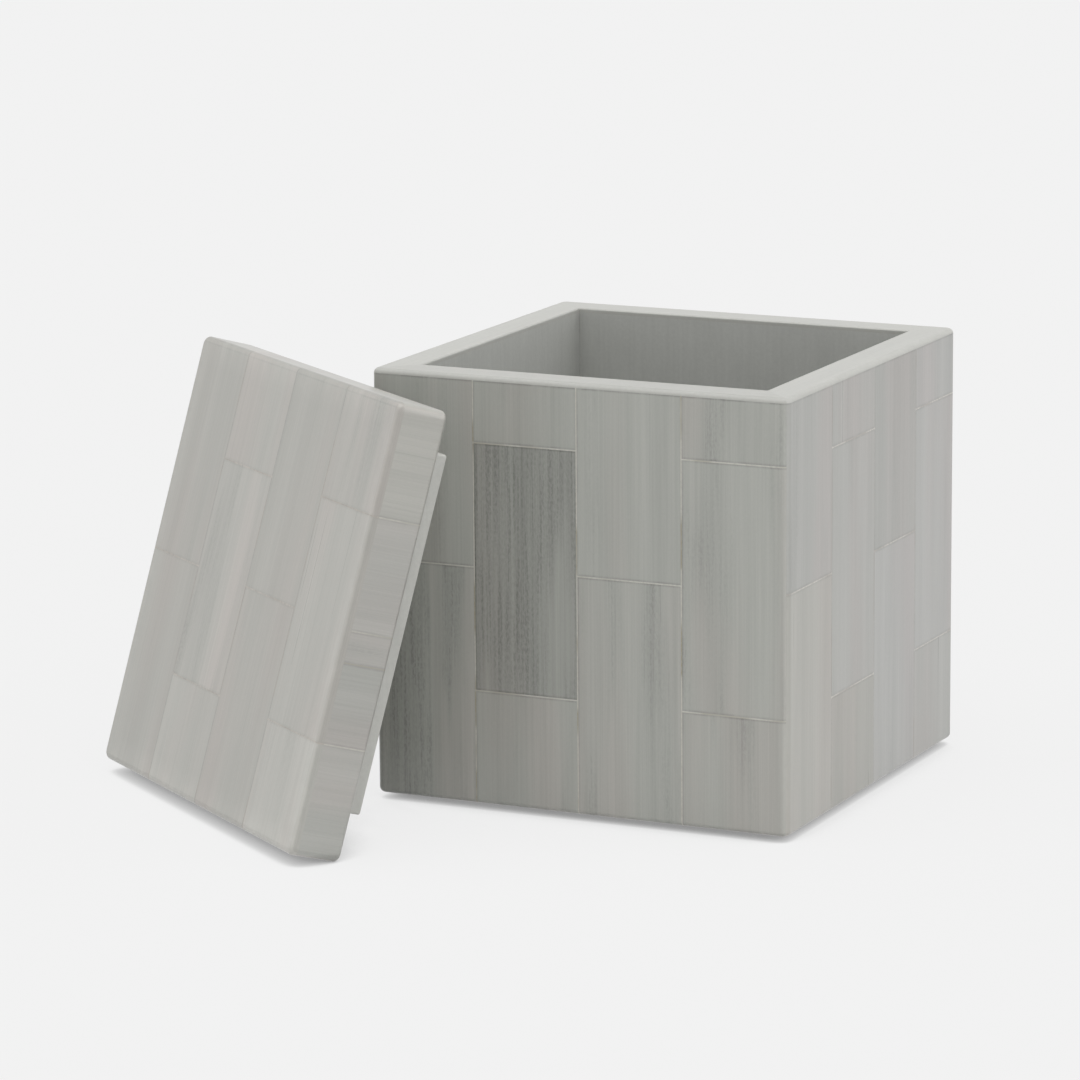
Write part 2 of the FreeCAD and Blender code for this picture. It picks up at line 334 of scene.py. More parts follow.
# %% [markdown]
# A group is a tree with sockets of its own. The grain group takes the place on the tile,
# the tile's own tone, how much dark fibre it has, how much painted shade a joint casts
# beside it, and how much an edge is lightened by a painted highlight, the edge partly
# worn. It gives back the colour, a roughness and a height. The noises' numbers
# are sizes in mm, so they can be measured on a real plate with a ruler.

# %% The grain group and its noises
NUMBER, COLOUR, VECTOR = "NodeSocketFloat", "NodeSocketColor", "NodeSocketVector"


def new_group(name, inputs, outputs):
    """A shader node group with named sockets, what it is given and what it makes."""
    group = bpy.data.node_groups.new(name, "ShaderNodeTree")
    for label, kind, value in inputs:
        socket = group.interface.new_socket(label, in_out="INPUT", socket_type=kind)
        if value is not None:
            socket.default_value = value
    for label, kind in outputs:
        group.interface.new_socket(label, in_out="OUTPUT", socket_type=kind)
    start, end = group.nodes.new("NodeGroupInput"), group.nodes.new("NodeGroupOutput")
    return group, start.outputs, end.inputs


grain, given, made = new_group(
    "Horn grain",
    [
        ("Vector", VECTOR, None),
        ("Tone", COLOUR, (0.4, 0.4, 0.38, 1)),
        ("Fibre", NUMBER, 0.2),
        # the joint's painted shade, then a painted highlight on rounded edges, partly worn
        ("Joint shade", NUMBER, 0.0),
        ("Wear", NUMBER, 0.0),
    ],
    [("Color", COLOUR), ("Roughness", NUMBER), ("Height", NUMBER)],
)
place, fibre = given["Vector"], given["Fibre"]
bands = stretched_noise(grain, place, across=7.0, along=160, detail=1.0)
hue = stretched_noise(grain, place, across=17.0, along=120, detail=1.0, offset=3.1)
ribs = stretched_noise(grain, place, across=1.1, along=90, offset=7.7)
streaks = stretched_noise(grain, place, across=0.42, along=45, detail=3.0, rough=0.6, offset=11.3)
patch = stretched_noise(grain, place, across=8.5, along=90, offset=17.9)
lines = stretched_noise(grain, place, across=0.85, along=30, rough=0.55, offset=41.3)
dashes = stretched_noise(grain, place, across=0.48, along=1.2, rough=0.6, offset=23.3)
pores = stretched_noise(grain, place, across=0.36, along=0.9, detail=1.0, offset=61.7)
breaks = stretched_noise(grain, place, across=3.5, along=5.0, offset=53.9)
unevenness = stretched_noise(grain, place, across=6.0, along=9.0, offset=31.0)
print("noises in the grain:", sum(node.type == "TEX_NOISE" for node in grain.nodes))

# %% [markdown]
# Dark fibre lies in patches. The more of it a tile has, the lower the bar that the patch
# noise has to clear, and the darker each patch is. Inside a patch the fibre shows as
# lines about a millimetre apart, broken into specks. Noise seldom leaves the stretch from
# 0.3 to 0.7, so that is where the steps that turn it into patches, lines and specks lie.

# %% Where the dark fibre lies
BAR_WITHOUT_FIBRE, BAR_DROP = 0.66, -0.28
LEAST_DEPTH = 0.2
BROKEN_SHARE = 0.6
over_bar = calc(
    grain, "SUBTRACT", patch, calc(grain, "MULTIPLY_ADD", fibre, BAR_DROP, BAR_WITHOUT_FIBRE)
)
patch_depth = calc(grain, "MULTIPLY_ADD", fibre, 1 - LEAST_DEPTH, LEAST_DEPTH, clamp=True)
in_patch = calc(grain, "MULTIPLY", ease(grain, over_bar, -0.06, 0.14), patch_depth)
speck = ease(grain, dashes, 0.38, 0.60, 1.0, 0.0)
broken_line = calc(
    grain, "MULTIPLY", ease(grain, lines, 0.38, 0.54, 1.0, 0.0),
    calc(grain, "MULTIPLY_ADD", speck, BROKEN_SHARE, 1 - BROKEN_SHARE),
)
dark_line = calc(grain, "MULTIPLY", broken_line, in_patch)
dark_speck = calc(grain, "MULTIPLY", speck, in_patch)
print("fibre patches start at", BAR_WITHOUT_FIBRE, "without fibre and at",
      round(BAR_WITHOUT_FIBRE + BAR_DROP, 2), "with all of it")

# %% [markdown]
# Everything that makes a spot lighter or darker is added up in one number, the level.
# Waves swing it both ways about 1, and marks only darken it, or lighten it for the painted
# highlight of an edge. A joint's painted shade and the highlight of an edge come and go, or
# they would look drawn with a pen.

# %% Light and dark along the grain
# painted shade beside the joints, and a painted highlight on rounded edges with the edges partly
# worn, both broken up by noise
fading = ease(grain, breaks, 0.36, 0.60, 0.5, 1.0)
highlight_and_wear_breaks = ease(grain, breaks, 0.30, 0.62, 1.0, 0.6)
joint_shade = calc(grain, "MULTIPLY", given["Joint shade"], fading)
highlight_and_wear = calc(grain, "MULTIPLY", given["Wear"], highlight_and_wear_breaks)
even_streaks = ease(grain, streaks, 0.30, 0.70)
waves = ((bands, 0.22), (even_streaks, 0.07), (pores, 0.075))
marks = (
    (in_patch, -0.10), (dark_line, -0.18), (dark_speck, -0.08), (joint_shade, -0.27), (highlight_and_wear, 0.13),
)
RIBS_WITHOUT_FIBRE, RIBS_FROM_FIBRE = 0.06, 0.26
level = swing(grain, 1.0, waves)
rib_height = calc(grain, "MULTIPLY_ADD", fibre, RIBS_FROM_FIBRE, RIBS_WITHOUT_FIBRE)
ribbed = calc(grain, "MULTIPLY", calc(grain, "SUBTRACT", ribs, 0.5), rib_height)
level = calc(grain, "ADD", level, ribbed)
for mark, depth in marks:
    level = calc(grain, "MULTIPLY_ADD", mark, depth, level)
print("level is built from", sum(node.type == "MATH" for node in grain.nodes), "sums")

# %% [markdown]
# The tone is tinted a little warm or a little cool before the level shades it. Patches of
# fibre are on the cool side. Lacquer over ribs is a bit less smooth, and it is never quite
# flat, which the height tells the Bump node.

# %% Warm and cool
WARM, COOL = (1.018, 0.991, 0.984, 1), (0.987, 1.003, 0.992, 1)
LACQUER_ROUGHNESS, RIB_ROUGHNESS, STREAK_HEIGHT = 0.25, 0.10, 0.12
cooler = calc(grain, "MULTIPLY_ADD", in_patch, 0.5, ease(grain, hue, 0.32, 0.62), clamp=True)
tint = blend_colours(grain, cooler, WARM, COOL)
tinted = blend_colours(grain, 1.0, given["Tone"], tint, "MULTIPLY")
feed(grain, made["Color"], scaled_colour(grain, tinted, level))
roughness = calc(grain, "MULTIPLY_ADD", ribs, RIB_ROUGHNESS, LACQUER_ROUGHNESS)
feed(grain, made["Roughness"], roughness)
feed(grain, made["Height"], calc(grain, "MULTIPLY_ADD", streaks, STREAK_HEIGHT, unevenness))
print("warm", WARM[:3], "cool", COOL[:3])

# %% [markdown]
# ## One strip, several tiles
# A strip in the model is a whole column of tiles, so its material has to change at each
# cross joint: another tone, and grain that doesn't run on from tile to tile. One small
# group does one joint. Past the joint it swaps in the next tile's tone and takes the
# grain from another spot, and close to the joint it reports a thin shade. Strips with
# more joints use it more than once, in a chain.

# %% The step from one tile to the next
GRAIN_SHIFT = (0.0473, 0.0061, 0.1317)
SHADE_STARTS, SHADE_FULL = -0.8 * MM, -0.3 * MM
SHADE_FADES, SHADE_ENDS = 0.3 * MM, 0.9 * MM
STRONG, WEAK = 0.8, 0.3

step_group, given, made = new_group(
    "Tile step",
    [
        ("Vector", VECTOR, None),
        ("Place", NUMBER, 0.0),
        ("Joint", NUMBER, 0.0),
        ("Tone", COLOUR, None),
        ("Next tone", COLOUR, None),
        ("Fibre", NUMBER, 0.0),
        ("Next fibre", NUMBER, 0.0),
        ("Joint shade", NUMBER, 0.0),
    ],
    [("Vector", VECTOR), ("Tone", COLOUR), ("Fibre", NUMBER), ("Joint shade", NUMBER)],
)
beyond = calc(step_group, "SUBTRACT", given["Place"], given["Joint"])
past = calc(step_group, "GREATER_THAN", beyond, 0.0)
shift = step_group.nodes.new("ShaderNodeVectorMath")
shift.operation = "MULTIPLY_ADD"
for socket, value in zip(shift.inputs, (past, GRAIN_SHIFT, given["Vector"])):
    feed(step_group, socket, value)
feed(step_group, made["Vector"], shift.outputs[0])
feed(step_group, made["Tone"], blend_colours(step_group, past, given["Tone"], given["Next tone"]))
more = calc(step_group, "SUBTRACT", given["Next fibre"], given["Fibre"])
feed(step_group, made["Fibre"], calc(step_group, "MULTIPLY_ADD", past, more, given["Fibre"]))
# painted shade of the small step at a cross joint
thin_line = calc(
    step_group, "MULTIPLY",
    ease(step_group, beyond, SHADE_FADES, SHADE_ENDS, STRONG, 0.0),
    ease(step_group, beyond, SHADE_STARTS, SHADE_FULL),
)
feed(step_group, made["Joint shade"], strongest(step_group, thin_line, given["Joint shade"]))
print("step group has", len(step_group.nodes), "nodes")

# %% [markdown]
# ## Tones
# Plates are sorted into a few tones, as they would be at the bench, and each
# is given a share of dark fibre. Tones are written as screen values from 0 to 255 and
# turned into the linear numbers that the shader works in.

# %% Named tones
def linear(*screen):
    """Screen values 0 to 255 as a linear colour."""
    parts = [v / 255 for v in screen]
    parts = [v / 12.92 if v <= 0.04045 else ((v + 0.055) / 1.055) ** 2.4 for v in parts]
    return (*parts, 1.0)


TONES = {
    "flint": linear(159, 159, 154),
    "sage": linear(169, 169, 164),
    "willow": linear(171, 171, 166),
    "slate": linear(162, 160, 155),
    "dusk": linear(162, 161, 158),
    "haze": linear(165, 164, 161),
    "ash": linear(167, 165, 160),
    "grit": linear(166, 165, 161),
    "pebble": linear(169, 168, 164),
    "stone": linear(170, 168, 163),
    "bone": linear(173, 171, 166),
    "mist": linear(168, 167, 165),
}
print("tones:", ", ".join(TONES))

# %% [markdown]
# ## Where each pattern lies
# Object coordinates are the same as the real ones, in metres. A Mapping node turns them
# so that X runs across the grain and Z along it. The lid leans, so its coordinates are
# first brought back to the lid lying flat: a Mapping of the Texture type undoes a move
# and a turn. Its origin is worked out from the middle of the lid's plate.

# %% Lid frame
LEAN, HEADING = math.radians(16.1), math.radians(53.5)
PLATE_MIDDLE = 6.1 * MM
lid_turn = Euler((math.pi / 2 - LEAN, 0.0, HEADING - math.pi / 2), "XYZ")
lid_normal = lid_turn.to_matrix() @ Vector((0, 0, 1))
plate_low, plate_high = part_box("lid_core")
lid_origin = (plate_low + plate_high) / 2 - lid_normal * PLATE_MIDDLE
print("lid origin, mm:", in_mm(lid_origin, 2), "normal", [round(v, 3) for v in lid_normal])

# %% Coordinates for a pattern
SIDE_TURN = {"front": 0, "right": 90, "back": 180, "left": 270}


def own_place(tree):
    """Where a spot is on the piece. At rest that is its real place, in metres."""
    return tree.nodes.new("ShaderNodeTexCoord").outputs["Object"]


def xyz(tree, vector):
    """The three numbers of a vector."""
    parts = tree.nodes.new("ShaderNodeSeparateXYZ")
    tree.links.new(vector, parts.inputs[0])
    return parts.outputs


def grain_frame(tree, side_turn, on_lid=False, lie_back=0.0):
    """Coordinates with the grain along Z: first the lid's own frame, then the side's turn."""
    vector = own_place(tree)
    if on_lid:
        unlean = tree.nodes.new("ShaderNodeMapping")
        unlean.vector_type = "TEXTURE"
        unlean.inputs["Location"].default_value = lid_origin
        unlean.inputs["Rotation"].default_value = lid_turn
        tree.links.new(vector, unlean.inputs["Vector"])
        vector = unlean.outputs["Vector"]
    face = tree.nodes.new("ShaderNodeMapping")
    face.inputs["Rotation"].default_value = (math.radians(lie_back), 0.0, math.radians(-side_turn))
    tree.links.new(vector, face.inputs["Vector"])
    return face.outputs["Vector"]


print("sides are turned by", SIDE_TURN)

# %% [markdown]
# ## Painted shade and highlight
# A joint is never perfectly flush, and a painted shade beside it stands in for the
# shadow of the small step between two tiles. The rounded outer edges are lightened, a
# painted highlight with the edges partly worn. All of these are masks from 0 to 1, made
# from how far a spot is from a known line. They could be painted on a texture as well, but
# a distance is exact, needs no unwrapping, and the same few functions serve every strip.

# %% Along the joints
PITCH = 28.575 * MM
HALF = 2 * PITCH


def beside_long_joints(tree, across):
    """The painted shade beside the joints along the grain: strong just past each, weak before it.
    """
    past_joint = calc(tree, "FLOORED_MODULO", across, PITCH)
    after = ease(tree, past_joint, 0.2 * MM, 0.8 * MM, STRONG, 0.0)
    before = ease(tree, past_joint, PITCH - 0.6 * MM, PITCH - 0.2 * MM, 0.0, WEAK)
    return strongest(tree, after, before)


def ring_line(tree, outwards, line, fade, depth):
    """A fine line that runs round at one distance from the middle."""
    off = calc(tree, "ABSOLUTE", calc(tree, "SUBTRACT", outwards, line))
    return ease(tree, off, 0.1 * MM, fade, depth, 0.0)


def corner_highlight_and_wear(tree, across, most):
    """A painted highlight along the two rounded corners of a side, the edge partly worn, up to
    most.
    """
    outwards = calc(tree, "ABSOLUTE", across)
    return ease(tree, outwards, HALF - 1.6 * MM, HALF - 0.8 * MM, 0.0, most)


print("columns are", in_mm([PITCH], 3), "mm wide")

# %% At the outer edges
RIM_LINE, LID_BORDER = 111.2 * MM, 56.9 * MM
OUTER_LINE, OUTSIDE_SHADE, BAND_LIGHTER = 0.65, 0.25, 0.8
# how strong the painted highlight on the corners is, the edges partly worn
BOX_CORNER_HIGHLIGHT_AND_WEAR, LID_CORNER_HIGHLIGHT_AND_WEAR = 1.0, 0.4


def box_side_edges(tree, across, along):
    """A side is shaded right under the rim, and its corners get a strong painted highlight, the
    edges partly worn.
    """
    shade = ease(tree, along, RIM_LINE - 0.6 * MM, RIM_LINE - 0.1 * MM)
    return shade, corner_highlight_and_wear(tree, across, BOX_CORNER_HIGHLIGHT_AND_WEAR)


def lid_top_edges(tree, across, along):
    """Two fine lines run round the lid's top, with a lighter band inside the outer one and a
    painted shade outside it, where the rounding turns to the side.
    """
    outwards = strongest(tree, calc(tree, "ABSOLUTE", across), calc(tree, "ABSOLUTE", along))
    inner = ring_line(tree, outwards, LID_BORDER - 1.2 * MM, 0.3 * MM, STRONG)
    outer = ring_line(tree, outwards, LID_BORDER, 0.4 * MM, OUTER_LINE)
    # painted shade where the rounding turns to the side
    outside = ease(tree, outwards, LID_BORDER, LID_BORDER + 0.2 * MM, 0.0, OUTSIDE_SHADE)
    band = ease(tree, outwards, LID_BORDER - 8.0 * MM, LID_BORDER - 1.2 * MM, 0.0, BAND_LIGHTER)
    within = ease(tree, outwards, LID_BORDER - 0.2 * MM, LID_BORDER, 1.0, 0.0)
    return strongest(tree, inner, outer, outside), calc(tree, "MULTIPLY", band, within)


def lid_side_edges(tree, across, along):
    """The lid's edge gets a painted shade along its underside, where the rounding turns away from
    the light, and a weak painted highlight on its corners.
    """
    # painted shade along the underside rounding
    shade = ease(tree, along, 0.3 * MM, 1.3 * MM, 1.0, 0.0)
    return shade, corner_highlight_and_wear(tree, across, LID_CORNER_HIGHLIGHT_AND_WEAR)


def darker_near_table(tree):
    """Darker close to the table, along the lowest edges."""
    return ease(tree, xyz(tree, own_place(tree))["Z"], 1.6 * MM, 3.0 * MM, 1.0, 0.0)


print("rim line and lid border, mm:", in_mm((RIM_LINE, LID_BORDER)))

# %% [markdown]
# ## Starting and finishing a material
# Every material here starts from a Principled BSDF with a Bump node, and most end by
# linking a pattern's colour, roughness and height to them. The pattern sits in a group.
# The shader itself stays outside it, in the material, where it is easy to find.

# %% Materials and groups
def new_material(name, roughness, bump, reach):
    """A material with its Principled BSDF and a Bump node, ready to be fed."""
    material = bpy.data.materials.new(name)
    material.use_nodes = True
    tree = material.node_tree
    surface = tree.nodes["Principled BSDF"]
    surface.inputs["Roughness"].default_value = roughness
    relief = tree.nodes.new("ShaderNodeBump")
    relief.inputs["Strength"].default_value = bump
    relief.inputs["Distance"].default_value = reach
    tree.links.new(relief.outputs["Normal"], surface.inputs["Normal"])
    return material, tree, surface, relief


def group_node(tree, group, **values):
    """One use of a group. A socket with a space in its name is written with a _ here."""
    node = tree.nodes.new("ShaderNodeGroup")
    node.node_tree = group
    for label, value in values.items():
        feed(tree, node.inputs[label.replace("_", " ")], value)
    return node.outputs


def show_pattern(tree, pattern, surface, relief):
    """Links a pattern group's colour, roughness and height to the surface."""
    tree.links.new(pattern["Color"], surface.inputs["Base Color"])
    tree.links.new(pattern["Roughness"], surface.inputs["Roughness"])
    tree.links.new(pattern["Height"], relief.inputs["Height"])


dressed = set()


def dress(node, material):
    """Gives a solid its material, by its material slot alone."""
    NODES[node].data.materials.clear()
    NODES[node].data.materials.append(material)
    dressed.add(node)


print("solids to dress:", len(NODES))

# %% The material of one strip of tiles
SEED_STEP = (0.0617, 0.0213, 0.0931)


def tile_material(name, tiles, joints, seed, edges, shade_depth, steps_across=False, **frame_of):
    """tiles are (tone, fibre) pairs in order, and joints the places between them, in metres.
    edges makes the painted shade and highlight of the outer edges. shade_depth is how much all
    shade shows."""
    material, tree, surface, relief = new_material(name, roughness=0.3, bump=0.2, reach=0.15 * MM)
    base = grain_frame(tree, **frame_of)
    spot = xyz(tree, base)
    moved = tree.nodes.new("ShaderNodeVectorMath")
    moved.operation = "ADD"
    feed(tree, moved.inputs[0], base)
    feed(tree, moved.inputs[1], [seed * part for part in SEED_STEP])
    # painted shade and painted highlight of the outer edges
    edge_shade, edge_highlight_and_wear = edges(tree, spot["X"], spot["Z"])
    shade = strongest(tree, beside_long_joints(tree, spot["X"]), edge_shade, darker_near_table(tree))

    place = spot["X"] if steps_across else spot["Z"]
    first_tone, fibre = tiles[0]
    vector, tone = moved.outputs[0], TONES[first_tone]
    for joint, (next_tone, next_fibre) in zip(joints, tiles[1:]):
        step = group_node(
            tree, step_group, Vector=vector, Place=place, Joint=joint, Tone=tone,
            Next_tone=TONES[next_tone], Fibre=fibre, Next_fibre=next_fibre, Joint_shade=shade,
        )
        vector, tone, fibre, shade = (step[k] for k in ("Vector", "Tone", "Fibre", "Joint shade"))
    shade = calc(tree, "MULTIPLY", shade, shade_depth)
    horn = group_node(
        tree, grain, Vector=vector, Tone=tone, Fibre=fibre, Joint_shade=shade, Wear=edge_highlight_and_wear
    )
    show_pattern(tree, horn, surface, relief)
    return material


print("seeds move the grain by", in_mm(SEED_STEP), "mm")

# %% [markdown]
# ## Dressing the four sides
# Columns are counted from the left as you face the side, and tiles from the bottom.
# Odd columns have one cross joint and even columns two, which staggers them. Each strip
# has a seed of its own, so that no two show the same grain. On the front, where it is
# seen most, the seeds are picked so that the darkest patches lie where they look best.

# %% Tiles on the sides
ODD_JOINTS, EVEN_JOINTS = [63.3 * MM], [31.3 * MM, 95.3 * MM]  # heights above the table
SHADE_DEPTH = {"front": 1.0, "right": 0.7, "back": 0.7, "left": 0.7}
PICKED_SEEDS = {"front_tiles_1": 4, "front_tiles_2": 32, "front_tiles_3": 28, "front_tiles_4": 3}
SIDE_TILES = {
    "front": (
        [("willow", 0.9), ("willow", 0.35)],
        [("sage", 0.35), ("flint", 1.0), ("sage", 0.35)],
        [("willow", 0.5), ("willow", 0.2)],
        [("sage", 0.5), ("willow", 0.45), ("sage", 0.5)],
    ),
    "right": (
        [("ash", 0.1), ("haze", 0.25)],
        [("slate", 0.3), ("haze", 0.1), ("haze", 0.1)],
        [("mist", 0.15), ("dusk", 0.35)],
        [("haze", 0.1), ("mist", 0.1), ("mist", 0.2)],
    ),
    "back": (
        [("stone", 0.2), ("ash", 0.4)],
        [("slate", 0.3), ("stone", 0.2), ("mist", 0.2)],
        [("ash", 0.3), ("slate", 0.7)],
        [("stone", 0.2), ("ash", 0.35), ("stone", 0.2)],
    ),
    "left": (
        [("ash", 0.3), ("bone", 0.2)],
        [("stone", 0.2), ("slate", 0.55), ("ash", 0.2)],
        [("bone", 0.2), ("mist", 0.3)],
        [("ash", 0.2), ("stone", 0.5), ("stone", 0.2)],
    ),
}
seed = 0
for side, columns in SIDE_TILES.items():
    for number, tiles in enumerate(columns, start=1):
        seed += 1
        name = f"{side}_tiles_{number}"
        joints = EVEN_JOINTS if len(tiles) == 3 else ODD_JOINTS
        material = tile_material(
            name, tiles, joints, PICKED_SEEDS.get(name, seed), box_side_edges,
            SHADE_DEPTH[side], side_turn=SIDE_TURN[side],
        )
        dress(name, material)
print("strips dressed:", len(dressed))

# %% [markdown]
# On the lid's top the grain runs up the lid, so its frame is laid back a quarter turn.
# Round its edge the plates are short and stand upright: their grain runs across the
# thickness, and they follow one another along the edge, so the steps go along X.

# %% Tiles on the lid
LID_TOP = (
    [("slate", 0.1), ("slate", 0.1)],
    [("ash", 0.15), ("stone", 0.5), ("ash", 0.1)],
    [("slate", 0.05), ("slate", 0.05)],
    [("bone", 0.35), ("ash", 0.15), ("ash", 0.4)],
)
LID_TOP_SHADE, LID_EDGE_SHADE = 0.4, 0.7
EDGE_JOINTS = [-PITCH, 0.0, PITCH]
LID_EDGES = {
    "front": (EDGE_JOINTS, [("stone", 0.1), ("ash", 0.1), ("stone", 0.1), ("ash", 0.1)]),
    "right": (
        [-PITCH, -8 * MM, 0.0, PITCH],
        [("pebble", 0.1), ("grit", 0.2), ("pebble", 0.2), ("pebble", 0.1), ("bone", 0.1)],
    ),
    "back": (EDGE_JOINTS, [("stone", 0.1), ("stone", 0.1), ("ash", 0.1), ("stone", 0.1)]),
    "left": ([0.0], [("stone", 0.1), ("ash", 0.1)]),
}
for number, tiles in enumerate(LID_TOP, start=1):
    seed += 1
    name = f"lid_top_tiles_{number}"
    joints = [-PITCH, PITCH] if len(tiles) == 3 else [0.0]
    material = tile_material(
        name, tiles, joints, seed, lid_top_edges, LID_TOP_SHADE,
        side_turn=0, on_lid=True, lie_back=90,
    )
    dress(name, material)
for side, (joints, tiles) in LID_EDGES.items():
    seed += 1
    name = f"lid_edge_{side}"
    material = tile_material(
        name, tiles, joints, seed, lid_side_edges, LID_EDGE_SHADE,
        steps_across=True, side_turn=SIDE_TURN[side], on_lid=True,
    )
    dress(name, material)
print("strips dressed:", len(dressed))

# %% [markdown]
# ## The joints
# Between the tiles lies a net of filler, sanded flush and lacquered over. It is hardly
# wider than a pencil line, so its colour does the work: pale in the cross joints, and
# along the grain nearly as grey as the tiles, stained tan or pink here and there. One
# long noise moves the line from pale to stained as it goes, and a short one makes it
# break up a little. Where the cross joints are is known, so a mask can find them.

# %% The filler's material
HALF_JOINT = 0.3 * MM
WORN = 0.88
LESS_STAIN_ACROSS = -0.4
SPECK_OFFSET = 5.0
MOST_WORN = 0.5
FILLER_ROUGHNESS, SPECK_ROUGHNESS = 0.25, 0.2


def filler_material(name, pale, plain, stain, crossings, offset, **frame_of):
    """pale is for the cross joints, plain and stain for the joints along the grain."""
    material, tree, surface, relief = new_material(name, roughness=0.35, bump=0.3, reach=0.05 * MM)
    place = grain_frame(tree, **frame_of)
    along = xyz(tree, place)["Z"]
    at_crossing = 0.0
    for crossing in crossings:
        off = calc(tree, "ABSOLUTE", calc(tree, "SUBTRACT", along, crossing))
        at_crossing = strongest(tree, at_crossing, calc(tree, "LESS_THAN", off, HALF_JOINT))
    runs = stretched_noise(tree, place, across=13.0, along=13.0, detail=1.0, offset=offset)
    speck_offset = offset + SPECK_OFFSET
    specks = stretched_noise(tree, place, across=0.9, along=0.9, detail=3.0, offset=speck_offset)
    line = blend_colours(tree, at_crossing, linear(*plain), linear(*pale))
    most_stain = calc(tree, "MULTIPLY_ADD", at_crossing, LESS_STAIN_ACROSS, 1.0)
    stained = calc(tree, "MULTIPLY", ease(tree, runs, 0.48, 0.60), most_stain)
    line = blend_colours(tree, stained, line, linear(*stain))
    worn = linear(*[WORN * value for value in plain])
    line = blend_colours(tree, ease(tree, specks, 0.35, 0.7, 0.0, MOST_WORN), line, worn)
    roughness = calc(tree, "MULTIPLY_ADD", specks, SPECK_ROUGHNESS, FILLER_ROUGHNESS)
    feed(tree, surface.inputs["Base Color"], line)
    feed(tree, surface.inputs["Roughness"], roughness)
    feed(tree, relief.inputs["Height"], specks)
    return material


print("a joint is at most", in_mm([2 * HALF_JOINT]), "mm wide")

# %% Filler on the sides
SIDE_FILLER = {  # pale, plain and stain as screen values
    "front": ((196, 195, 187), (193, 191, 182), (158, 152, 134)),
    "right": ((194, 191, 184), (167, 165, 160), (154, 145, 138)),
    "back": ((196, 194, 186), (182, 179, 171), (150, 142, 126)),
    "left": ((196, 194, 186), (182, 179, 171), (150, 142, 126)),
}
CROSSINGS = [*ODD_JOINTS, *EVEN_JOINTS]
OFFSET_PER_SIDE = 2.7
for number, (side, colours) in enumerate(SIDE_FILLER.items()):
    filler = filler_material(
        f"{side}_filler", *colours, CROSSINGS, offset=number * OFFSET_PER_SIDE,
        side_turn=SIDE_TURN[side],
    )
    dress(f"{side}_joint_filler", filler)
print("sides filled:", len(SIDE_FILLER))

# %% [markdown]
# The lid's top looks up at the light, so its filler is darker than on the sides and the
# joints read as fine grey lines. Round its edge all joints run along the grain, so there
# are no crossings to find, and the offset sets which of them are stained.

# %% Filler on the lid
lid_top_filler = filler_material(
    "lid_top_filler", (174, 168, 160), (154, 152, 147), (158, 150, 141), [-PITCH, 0.0, PITCH],
    offset=11.9, side_turn=0, on_lid=True, lie_back=90,
)
lid_edge_filler = filler_material(
    "lid_edge_filler", (186, 184, 176), (184, 182, 174), (158, 155, 144), [],
    offset=4.17, side_turn=0, on_lid=True,
)
dress("lid_top_joint_filler", lid_top_filler)
dress("lid_edge_joint_filler", lid_edge_filler)
print("dressed so far:", len(dressed))

# %% [markdown]
# ## Painted parts
# The rim strips and the lid's plug are wood under a pale satin paint, sprayed and rubbed
# down, and the panels inside have the same paint in a slightly cooler shade.
# Paint on wood is never one even grey: the grain telegraphs faintly through it, and the
# sprayed film has a soft mottle. A group puts the two together for all of these pieces.

# %% The paint group
paint, given, made = new_group(
    "Satin paint",
    [("Vector", VECTOR, None), ("Tone", COLOUR, (0.5, 0.5, 0.5, 1)), ("Grain", NUMBER, 0.5)],
    [("Color", COLOUR), ("Roughness", NUMBER), ("Height", NUMBER)],
)
place = given["Vector"]
wood = stretched_noise(paint, place, across=1.1, along=40, detail=3.0, rough=0.6)
mottle = stretched_noise(paint, place, across=9.0, along=16.0, detail=3.0, rough=0.6, offset=5.0)
peel = stretched_noise(paint, place, across=0.9, along=0.9, offset=9.0)
GRAIN_SHOWS = 0.26
SATIN_ROUGHNESS, MOTTLE_ROUGHNESS, PEEL_HEIGHT = 0.34, 0.12, 0.5
grain_height = calc(paint, "MULTIPLY", given["Grain"], GRAIN_SHOWS)
level = calc(paint, "MULTIPLY_ADD", calc(paint, "SUBTRACT", wood, 0.5), grain_height, 1.0)
level = swing(paint, level, ((mottle, 0.16), (peel, 0.14)))
feed(paint, made["Color"], scaled_colour(paint, given["Tone"], level))
roughness = calc(paint, "MULTIPLY_ADD", mottle, MOTTLE_ROUGHNESS, SATIN_ROUGHNESS)
feed(paint, made["Roughness"], roughness)
feed(paint, made["Height"], calc(paint, "MULTIPLY_ADD", peel, PEEL_HEIGHT, wood))
print("paint group has", len(paint.nodes), "nodes")

# %% Paint on each piece
# the front rim gets a darker copy of the trim paint: painted shade
TRIM, SHADED_FRONT_TRIM = linear(180, 180, 175), linear(174, 174, 169)
INSIDE, PLUG = linear(183, 184, 180), linear(192, 192, 187)
BOARD_GRAIN, LID_GRAIN = 0.6, 0.4
UPRIGHT, ALONG_X, ALONG_Y = (0.0, 0.0, 0.0), (0.0, 90.0, 0.0), (90.0, 0.0, 0.0)


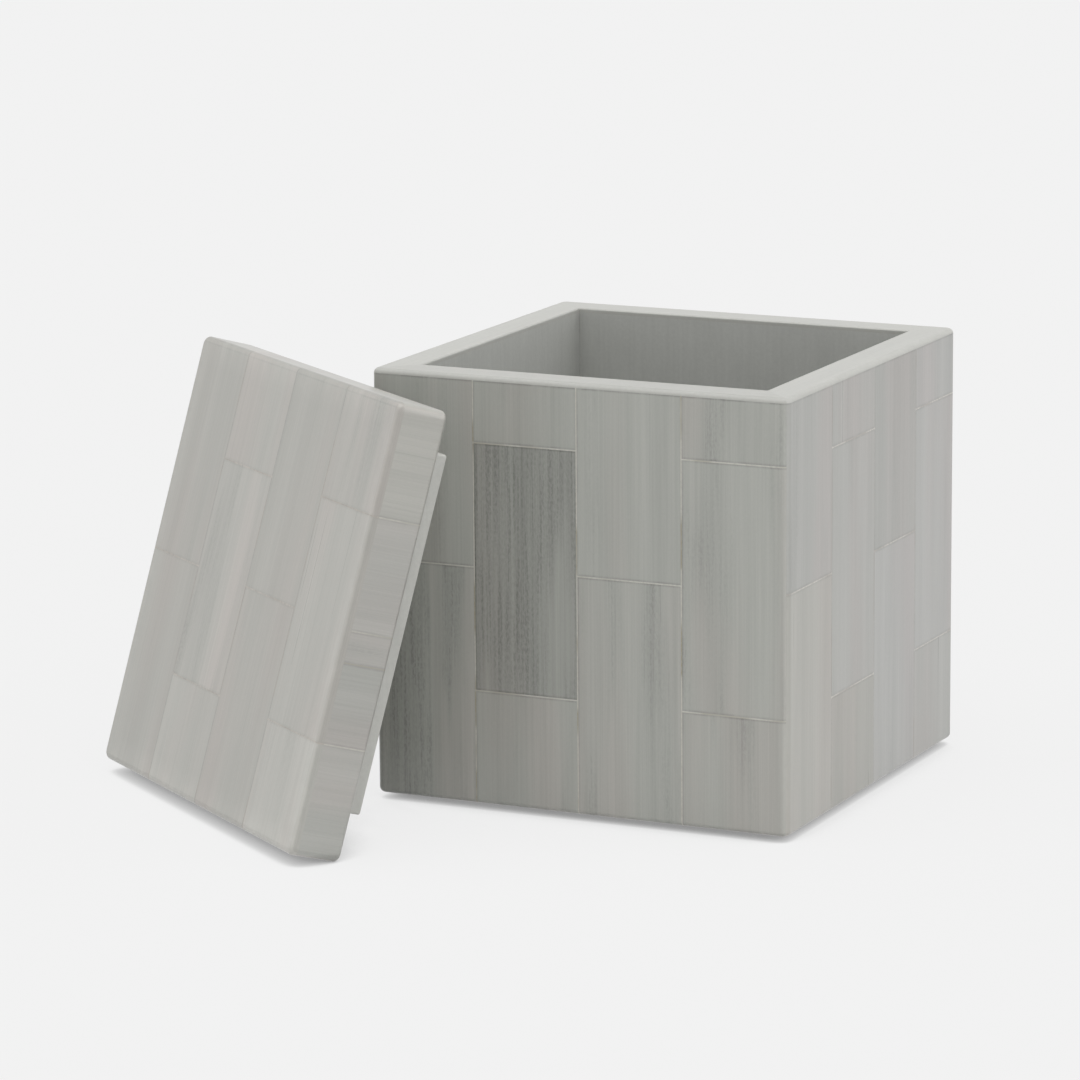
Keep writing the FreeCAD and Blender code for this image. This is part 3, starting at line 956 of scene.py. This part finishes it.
def painted_material(name, tone, wood_grain, turn=UPRIGHT):
    """turn, in degrees, lays the wood's grain along the piece."""
    material, tree, surface, relief = new_material(name, roughness=0.4, bump=0.15, reach=0.08 * MM)
    lay = tree.nodes.new("ShaderNodeMapping")
    lay.inputs["Rotation"].default_value = [math.radians(angle) for angle in turn]
    tree.links.new(own_place(tree), lay.inputs["Vector"])
    coat = group_node(tree, paint, Vector=lay.outputs["Vector"], Tone=tone, Grain=wood_grain)
    show_pattern(tree, coat, surface, relief)
    return material


for side in SIDE_TURN:
    along = ALONG_X if side in ("front", "back") else ALONG_Y
    tone = SHADED_FRONT_TRIM if side == "front" else TRIM
    dress(f"rim_{side}", painted_material(f"rim_paint_{side}", tone, BOARD_GRAIN, along))
    dress(f"wall_{side}", painted_material(f"wall_paint_{side}", INSIDE, BOARD_GRAIN))
dress("base_panel", painted_material("base_paint", INSIDE, BOARD_GRAIN, ALONG_X))
dress("lid_core", painted_material("lid_paint", INSIDE, LID_GRAIN))
dress("lid_plug", painted_material("plug_paint", PLUG, LID_GRAIN))
print("dressed so far:", len(dressed))

# %% [markdown]
# ## The feet
# Four clear rubber bumpers keep the box off the table. Only a pale sliver of one shows.
# Clear rubber that thin on a white table looks milky, so it gets a pale colour with a
# cloudy mottle rather than a see-through shader: a painted highlight, with the white table
# painted in as seen through it. It is darker where it meets the table.

# %% Bumpers
# pale colours that paint in the highlight and the white table seen through the rubber, and a grey
# for near the table
DULL, MILKY, NEAR_TABLE_GREY = linear(205, 206, 200), linear(226, 227, 222), linear(188, 187, 180)
DARKER_HEIGHT, DARKER_SHARE = 0.8 * MM, 0.6

rubber, tree, surface, relief = new_material(
    "bumper_rubber", roughness=0.45, bump=0.2, reach=0.1 * MM
)
place = own_place(tree)
cloud = stretched_noise(tree, place, across=3.0, along=3.0)
fine = stretched_noise(tree, place, across=0.5, along=0.5, offset=4.0)
# darker near the table
near_table = ease(tree, xyz(tree, place)["Z"], 0.0, DARKER_HEIGHT, DARKER_SHARE, 0.0)
cloudy = blend_colours(tree, cloud, DULL, MILKY)
feed(tree, surface.inputs["Base Color"], blend_colours(tree, near_table, cloudy, NEAR_TABLE_GREY))
feed(tree, relief.inputs["Height"], fine)
for foot in ("foot_front_left", "foot_front_right", "foot_back_left", "foot_back_right"):
    dress(foot, rubber)
print("solids without a finish:", sorted(set(NODES) - dressed) or "none")
